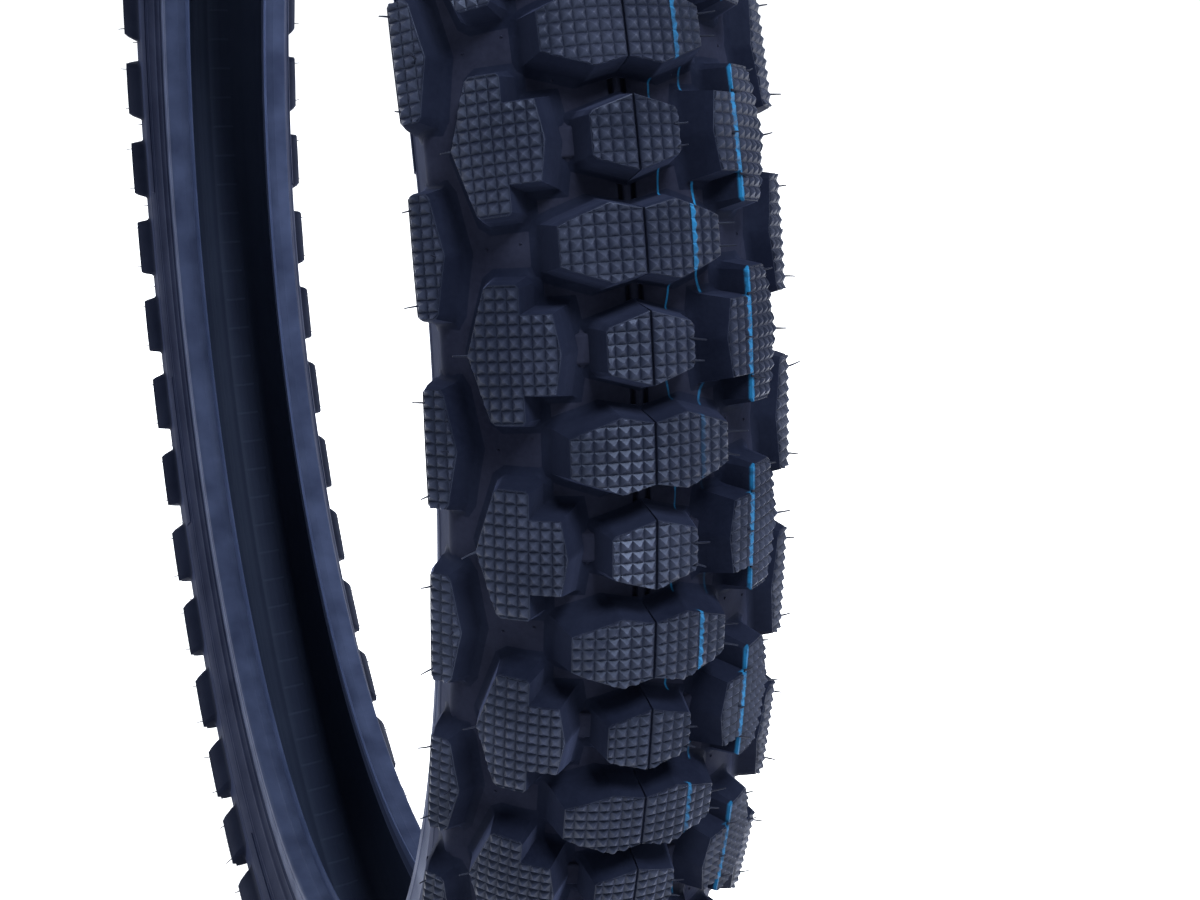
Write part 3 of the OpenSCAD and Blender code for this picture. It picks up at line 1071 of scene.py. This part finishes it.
midTilt = 36
midStep = 30.2
midKnob = {
    "tilt": midTilt,
    "outline": outlined([(22.7, -0.19), (midStep, -0.19), (midStep, -0.312), (31, -0.33), (37.7, -0.33),
                         (38.9, -0.311)], 21, 43.8),
    "split": splitMid,
    "grid": (inTilt(midStep, midTilt) + knobDetail["rim"], -5.5 * knobDetail["pyramidPitch"]),
}
shoulderTilt = 60
shoulderEdge = math.radians(65) * tyre["crownArc"]
# leans gives some edges a draft of their own, and roll turns the top flatter by so many degrees
shoulderKnob = {
    "tilt": shoulderTilt,
    "outline": outlined([(52.1, -0.27), (53, -0.295), (shoulderEdge - 0.8, -0.295), (shoulderEdge, -0.278)],
                        49.3),
    "leans": {3: 0.45, 4: 0.62, 5: 0.45},
    "height": 9,
    "roll": 15,
    "grid": (inTilt(shoulderEdge, shoulderTilt) - knobDetail["rim"], -5.5 * knobDetail["pyramidPitch"]),
}


def addSipeWeb(made, reach):
    # The rubber left at the bottom of the cut along the middle of a centre knob
    verts, faces, relief, finish = made
    first = len(verts)
    half = sipe["webHalf"]
    for r in (floorR - 1, tyre["crownR"] - sipe["depth"]):
        for y, v in ((-half, -reach), (half, -reach), (half, reach), (-half, reach)):
            verts.append((r, y, v))
            relief.append(knobDetail["sideRelief"] / 2)
    quads = [(3, 2, 1, 0), (4, 5, 6, 7), (0, 1, 5, 4), (1, 2, 6, 5), (2, 3, 7, 6), (3, 0, 4, 7)]
    faces = faces + [[first + k for k in quad] for quad in quads]
    return verts, faces, relief, finish + [1] * len(quads)


def bothLobes(made):
    # Mirrors one lobe of a centre knob to the left of the cut
    verts, faces, relief, finish = made
    count = len(verts)
    mirrored = [(r, -y, v) for r, y, v in verts]
    turned = [[v + count for v in face[::-1]] for face in faces]
    return verts + mirrored, faces + turned, relief * 2, finish * 2


def centreKnob(shape):
    return addSipeWeb(bothLobes(buildKnob(shape, knobSeat)), shape["web"] * pitchMm)


knobSeat = underLine()
evenRow = tyre["firstKnob"]
oddRow = evenRow + pitchAngle / 2
addKnobs("moulded_centre_wide_knobs", centreKnob(wideKnob), evenRow, 1, "centre_wide_knobs")
addKnobs("moulded_centre_small_knobs", centreKnob(smallKnob), oddRow, 1, "centre_small_knobs")
midMade = buildKnob(midKnob, knobSeat)
shoulderMade = buildKnob(shoulderKnob, knobSeat)
for side, sideName in ((-1, "left"), (1, "right")):
    addKnobs("moulded_mid_knobs_" + sideName, midMade, oddRow, side, "mid_knobs_" + sideName)
    addKnobs("moulded_shoulder_knobs_" + sideName, shoulderMade, evenRow, side, "shoulder_knobs_" + sideName)
print("knobs ready")


tieBar = {
    "from": 9.5,
    "to": 23.5,
    "halfWidth": 3.6,
    "height": 1.4,
    "footRound": 2.6,
    "topRound": 0.9,
    "sink": 0.5,
    "arcStep": 18,
    "steps": 6,
}


def addTieBars():
    # Low bars in the groove between each small centre knob and the mid knobs beside it
    bar = tieBar
    edge = -bar["halfWidth"]
    outline = [(edge - bar["footRound"], -bar["sink"])]
    for a in range(0, 91, bar["arcStep"]):
        sine, cosine = math.sin(math.radians(a)), math.cos(math.radians(a))
        outline.append((edge - bar["footRound"] * (1 - sine), 0.5 * bar["height"] * (1 - cosine)))
    for a in range(bar["arcStep"], 91, bar["arcStep"]):
        sine, cosine = math.sin(math.radians(a)), math.cos(math.radians(a))
        outline.append((edge + bar["topRound"] * (1 - cosine), bar["height"] * (0.5 + 0.5 * sine)))
    outline += [(-v, h) for v, h in outline[::-1]]
    steps = bar["steps"]
    verts, faces = [], []
    for i in range(steps + 1):
        offset = bar["from"] + (bar["to"] - bar["from"]) * i / steps
        for v, h in outline:
            r, y = floorPoint(offset) + h * (floorPoint(offset) - floorC) / tyre["floorArc"]
            verts.append((math.sqrt(r * r - v * v), y, v))
    n = len(outline)
    for i in range(steps):
        for j in range(n):
            k = (j + 1) % n
            faces.append((i * n + j, (i + 1) * n + j, (i + 1) * n + k, i * n + k))
    faces += [tuple(range(n)), tuple(range(steps * n, steps * n + n))[::-1]]
    left = aroundTyre(verts, faces, oddRow, -1)
    right = aroundTyre(verts, faces, oddRow, 1)
    shifted = [tuple(v + len(left[0]) for v in face) for face in right[1]]
    addPiece("moulded_tie_bars", np.vstack([left[0], right[0]]), left[1] + shifted, [floorRubber])


pips = {
    "radius": 0.42,
    "height": 0.34,
    "sides": 6,
    "rings": ((1, -0.2), (0.85, 0.5), (0.45, 0.9), (0, 1)),  # shares of the radius and of the height
    # offset from the middle plane and place round the tyre as a share of the pitch, and how far both stray
    "places": [(14.5, 0.30), (18.0, 0.17), (31.5, -0.47), (24.5, 0.52), (16.0, -0.34)],
    "stray": (0.6, 0.8),
}


def addPips():
    # Small bumps left by the vent holes of the mould between the knobs
    sides = pips["sides"]
    verts, faces = [], []
    for i in range(tyre["pitches"]):
        for side in (-1, 1):
            for offset, share in pips["places"]:
                offset += random.uniform(-pips["stray"][0], pips["stray"][0])
                v = share * pitchMm + random.uniform(-pips["stray"][1], pips["stray"][1])
                centre = floorPoint(offset)
                out = (centre - floorC) / tyre["floorArc"]
                run = np.array([-out[1], out[0]])
                first = len(verts)
                angle = math.radians(oddRow + i * pitchAngle)
                for ring, lift in pips["rings"]:
                    reach = ring * pips["radius"]
                    for j in range(sides if ring else 1):
                        turn = 2 * math.pi * j / sides
                        r, y = centre + out * lift * pips["height"] + run * reach * math.cos(turn)
                        b = v + reach * math.sin(turn)
                        r = math.sqrt(r * r - b * b) if abs(b) < r else r
                        verts.append((r * math.cos(angle) - b * math.sin(angle), side * y,
                                      r * math.sin(angle) + b * math.cos(angle)))
                dome = [tuple(range(first + sides - 1, first - 1, -1))]
                for k in range(2):
                    low = first + k * sides
                    for j in range(sides):
                        m = (j + 1) % sides
                        dome.append((low + j, low + m, low + sides + m, low + sides + j))
                low = first + 2 * sides
                dome += [(low + j, low + (j + 1) % sides, low + sides) for j in range(sides)]
                faces += [face[::-1] for face in dome] if side < 0 else dome
    addPiece("vent_pips", verts, faces, [floorRubber], sharp=80)


addTieBars()
addPips()
print("tie bars and vent pips ready")


hairs = {
    "radius": 0.31,
    "taper": 0.45,
    "rings": 5,
    "sides": 6,
    "sink": 0.5,
    "stray": 0.16,  # of the direction
    "bend": 0.25,
    "growth": (1.0, 1.5),  # least and most, times the length
    # place along the crown, place round the tyre as a share of the pitch, direction
    # (across, round, up) in the knob's own tilt, and length
    "wide": [(18.6, 0.055, (0.95, 0.05, 0.35), 3.6), (18.6, -0.05, (0.95, -0.1, 0.3), 3.4)],
    "small": [(9.6, 0.03, (0.9, -0.1, 0.35), 2.6), (9.6, -0.075, (0.9, -0.1, 0.35), 2.6)],
    "midOuter": [(43.0, 0.0, (0.75, 0.0, 0.66), 3.2)],
    "midOver": [(29.5, 0.2, (0.85, -0.1, 0.55), 2.4), (26.5, 0.0, (0.85, -0.05, 0.5), 2.2),
                (29.8, -0.2, (0.85, -0.2, 0.5), 2.6), (37.0, 0.3, (0.8, 0.1, 0.6), 2.2)],
    "shoulderLeft": [(56.4, 0.225, (0.25, 0.05, 0.95), 3.4), (56.4, -0.225, (0.25, -0.05, 0.95), 3.4),
                     (51.2, 0.0, (-0.3, 0.2, 0.9), 2.6)],
    "shoulderRight": [(56.2, 0.225, (0.35, 0.0, 0.93), 3.4), (56.2, -0.225, (0.35, 0.0, 0.93), 3.4),
                      (56.6, 0.0, (0.35, 0.05, 0.93), 1.4)],
}


def hairMesh(place, share, tilt, direction, length, knobAngle, side):
    # A thin tapered thread of rubber that bends a little on the way
    u = inTilt(place, tilt)
    v = share * pitchMm
    w = onCrown(u, v, tilt) - hairs["sink"]
    stray = hairs["stray"]
    aim = np.array(direction, float) + np.array([random.uniform(-stray, stray) for _ in range(3)])
    aim /= np.linalg.norm(aim)
    bend = np.array([random.uniform(-0.5, 0.5), random.uniform(-0.5, 0.5), random.uniform(-0.3, 0.1)])
    length *= random.uniform(*hairs["growth"])
    helper = np.array([0, 1, 0.2]) if abs(aim[1]) < 0.8 else np.array([1, 0, 0])
    a = np.cross(aim, helper)
    a /= np.linalg.norm(a)
    b = np.cross(aim, a)
    verts = []
    for i in range(hairs["rings"]):
        t = i / (hairs["rings"] - 1)
        middle = np.array([u, v, w]) + aim * length * t + bend * hairs["bend"] * length * t * t
        radius = hairs["radius"] * (1 - hairs["taper"] * t)
        for j in range(hairs["sides"]):
            turn = 2 * math.pi * j / hairs["sides"]
            p = middle + radius * (math.cos(turn) * a + math.sin(turn) * b)
            r, y = sectionPoint(p[0], p[2], tilt)
            angle = math.radians(knobAngle)
            verts.append((r * math.cos(angle) - p[1] * math.sin(angle), side * y,
                          r * math.sin(angle) + p[1] * math.cos(angle)))
    n = hairs["sides"]
    faces = [tuple(range(n)), tuple(range(len(verts) - n, len(verts)))[::-1]]
    for i in range(hairs["rings"] - 1):
        for j in range(n):
            k = (j + 1) % n
            faces.append((i * n + j, (i + 1) * n + j, (i + 1) * n + k, i * n + k))
    if side > 0:
        faces = [face[::-1] for face in faces]
    return verts, faces


def addHairs(name, groups):
    verts, faces = [], []
    for row, knob, start, side in groups:
        for i in range(tyre["pitches"]):
            for place, share, direction, length in hairs[row]:
                angle = start + i * pitchAngle
                made, madeFaces = hairMesh(place, share, knob["tilt"], direction, length, angle, side)
                faces += [tuple(v + len(verts) for v in face) for face in madeFaces]
                verts += made
    addPiece(name, verts, faces, [hairRubber], sharp=60)


addHairs("vent_hairs_centre", [("wide", wideKnob, evenRow, 1), ("small", smallKnob, oddRow, 1)])
addHairs("vent_hairs_left", [("midOuter", midKnob, oddRow, -1), ("shoulderLeft", shoulderKnob, evenRow, -1)])
addHairs("vent_hairs_right", [("midOuter", midKnob, oddRow, 1), ("midOver", midKnob, oddRow, 1),
                              ("shoulderRight", shoulderKnob, evenRow, 1)])
print("vent hairs ready")


studio = {
    "floorSize": 80,
    "floorColour": (0.93, 0.93, 0.94),
    "floorGlow": 0.62,
    "skyColour": (0.88, 0.94, 1.0),
    "skyStrength": 0.62,
    "lamps": [
        # name, place, size, watts, colour
        ("top_softbox", (1.3, 0.2, 1.65), 0.6, 110, (0.97, 0.98, 1.0)),
        ("right_softbox", (1.1, 2.0, 1.0), 1.0, 38, (0.95, 0.97, 1.0)),
        ("left_softbox", (0.8, -2.0, 1.3), 1.0, 20, (0.95, 0.97, 1.0)),
        ("back_softbox", (-1.7, -1.2, 1.5), 1.2, 45, (0.95, 0.97, 1.0)),
    ],
}


def makeFloor():
    mesh = bpy.data.meshes.new("studio_floor")
    half = studio["floorSize"] / 2
    z = -tyre["crownR"] * mm
    corners = [(-half, -half, z), (half, -half, z), (half, half, z), (-half, half, z)]
    mesh.from_pydata(corners, [], [(0, 1, 2, 3)])
    floor = bpy.data.objects.new("studio_floor", mesh)
    bpy.context.scene.collection.objects.link(floor)
    material, tree, shader, coords = startMaterial("studio floor")
    shade = mapped(tree, noise(tree, coords, 3, 2), 0.3, 0.7, 0.97, 1.0)
    tint = tuple(c * 0.985 for c in studio["floorColour"])
    tree.links.new(mixed(tree, shade, tint, studio["floorColour"]), shader.inputs["Base Color"])
    shader.inputs["Roughness"].default_value = 0.9
    shader.inputs["Specular IOR Level"].default_value = 0.1
    shader.inputs["Emission Color"].default_value = (*studio["floorColour"], 1)
    shader.inputs["Emission Strength"].default_value = studio["floorGlow"]
    mesh.materials.append(material)


def lightStudio():
    world = bpy.data.worlds.new("studio")
    world.use_nodes = True
    background = world.node_tree.nodes["Background"]
    background.inputs["Color"].default_value = (*studio["skyColour"], 1)
    background.inputs["Strength"].default_value = studio["skyStrength"]
    bpy.context.scene.world = world
    for name, place, size, power, colour in studio["lamps"]:
        lamp = bpy.data.lights.new(name, "AREA")
        lamp.size = size
        lamp.energy = power
        lamp.color = colour
        holder = bpy.data.objects.new(name, lamp)
        holder.location = place
        holder.rotation_euler = (-Vector(place)).to_track_quat("-Z", "Y").to_euler()
        bpy.context.scene.collection.objects.link(holder)


view = {
    "place": (0.699, -0.146, 0.1712),
    "facing": (-0.8973, 0.319, -0.3061),
    "roll": 0.3,
    "lens": 53.58,
    "shift": (0.0225, -0.0392),
}


def addCamera():
    data = bpy.data.cameras.new("view")
    data.sensor_width = 36
    data.lens = view["lens"]
    data.shift_x, data.shift_y = view["shift"]
    data.clip_start = 0.02
    camera = bpy.data.objects.new("view", data)
    turn = Vector(view["facing"]).to_track_quat("-Z", "Y").to_matrix().to_4x4()
    roll = Matrix.Rotation(math.radians(view["roll"]), 4, "Z")
    camera.matrix_world = Matrix.Translation(view["place"]) @ turn @ roll
    bpy.context.scene.collection.objects.link(camera)
    bpy.context.scene.camera = camera


makeFloor()
lightStudio()
addCamera()
bpy.context.scene.view_settings.view_transform = "Standard"
print("studio ready")
